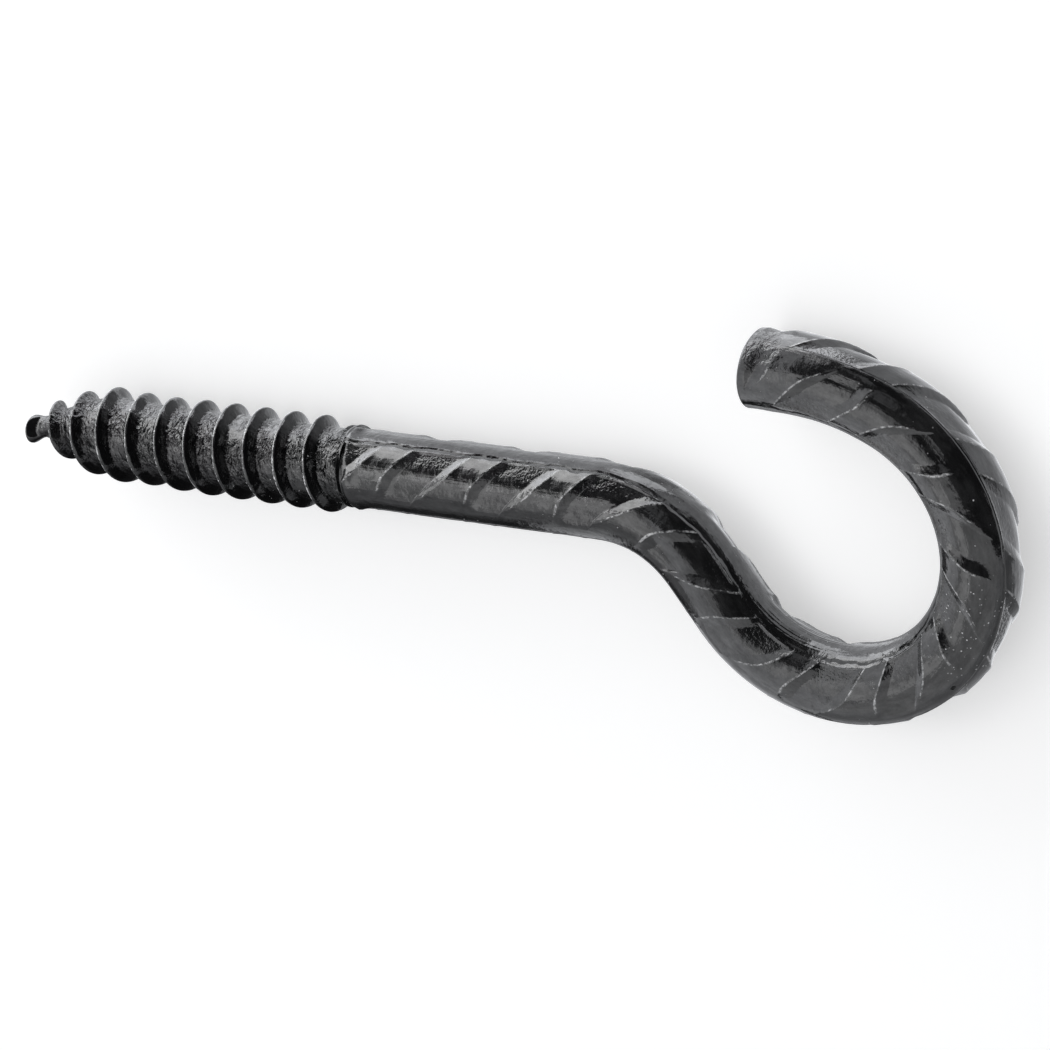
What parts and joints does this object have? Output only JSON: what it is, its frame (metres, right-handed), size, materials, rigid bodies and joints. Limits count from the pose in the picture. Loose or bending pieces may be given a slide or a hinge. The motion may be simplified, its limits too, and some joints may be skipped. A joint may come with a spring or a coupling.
{
  "type": "screw hook",
  "caption": "Open screw hook bent from one length of rolled steel bar with pressed pockets, with a tapered wood thread on its straight end, all in gloss black paint.",
  "frame": {"origin": "on the screw axis, where the thread ends and the straight shank starts", "axes": "+X from the screw point towards the hook, +Y towards the side that the hook opens on, +Z square to the plane of the hook, which lies flat"},
  "size_m": [0.1436, 0.0494, 0.0122],
  "materials": {
    "black_paint": "gloss black paint over rolled steel"
  },
  "bodies": {
    "root": {"screw_hook": "black_paint"}
  },
  "joints": []
}
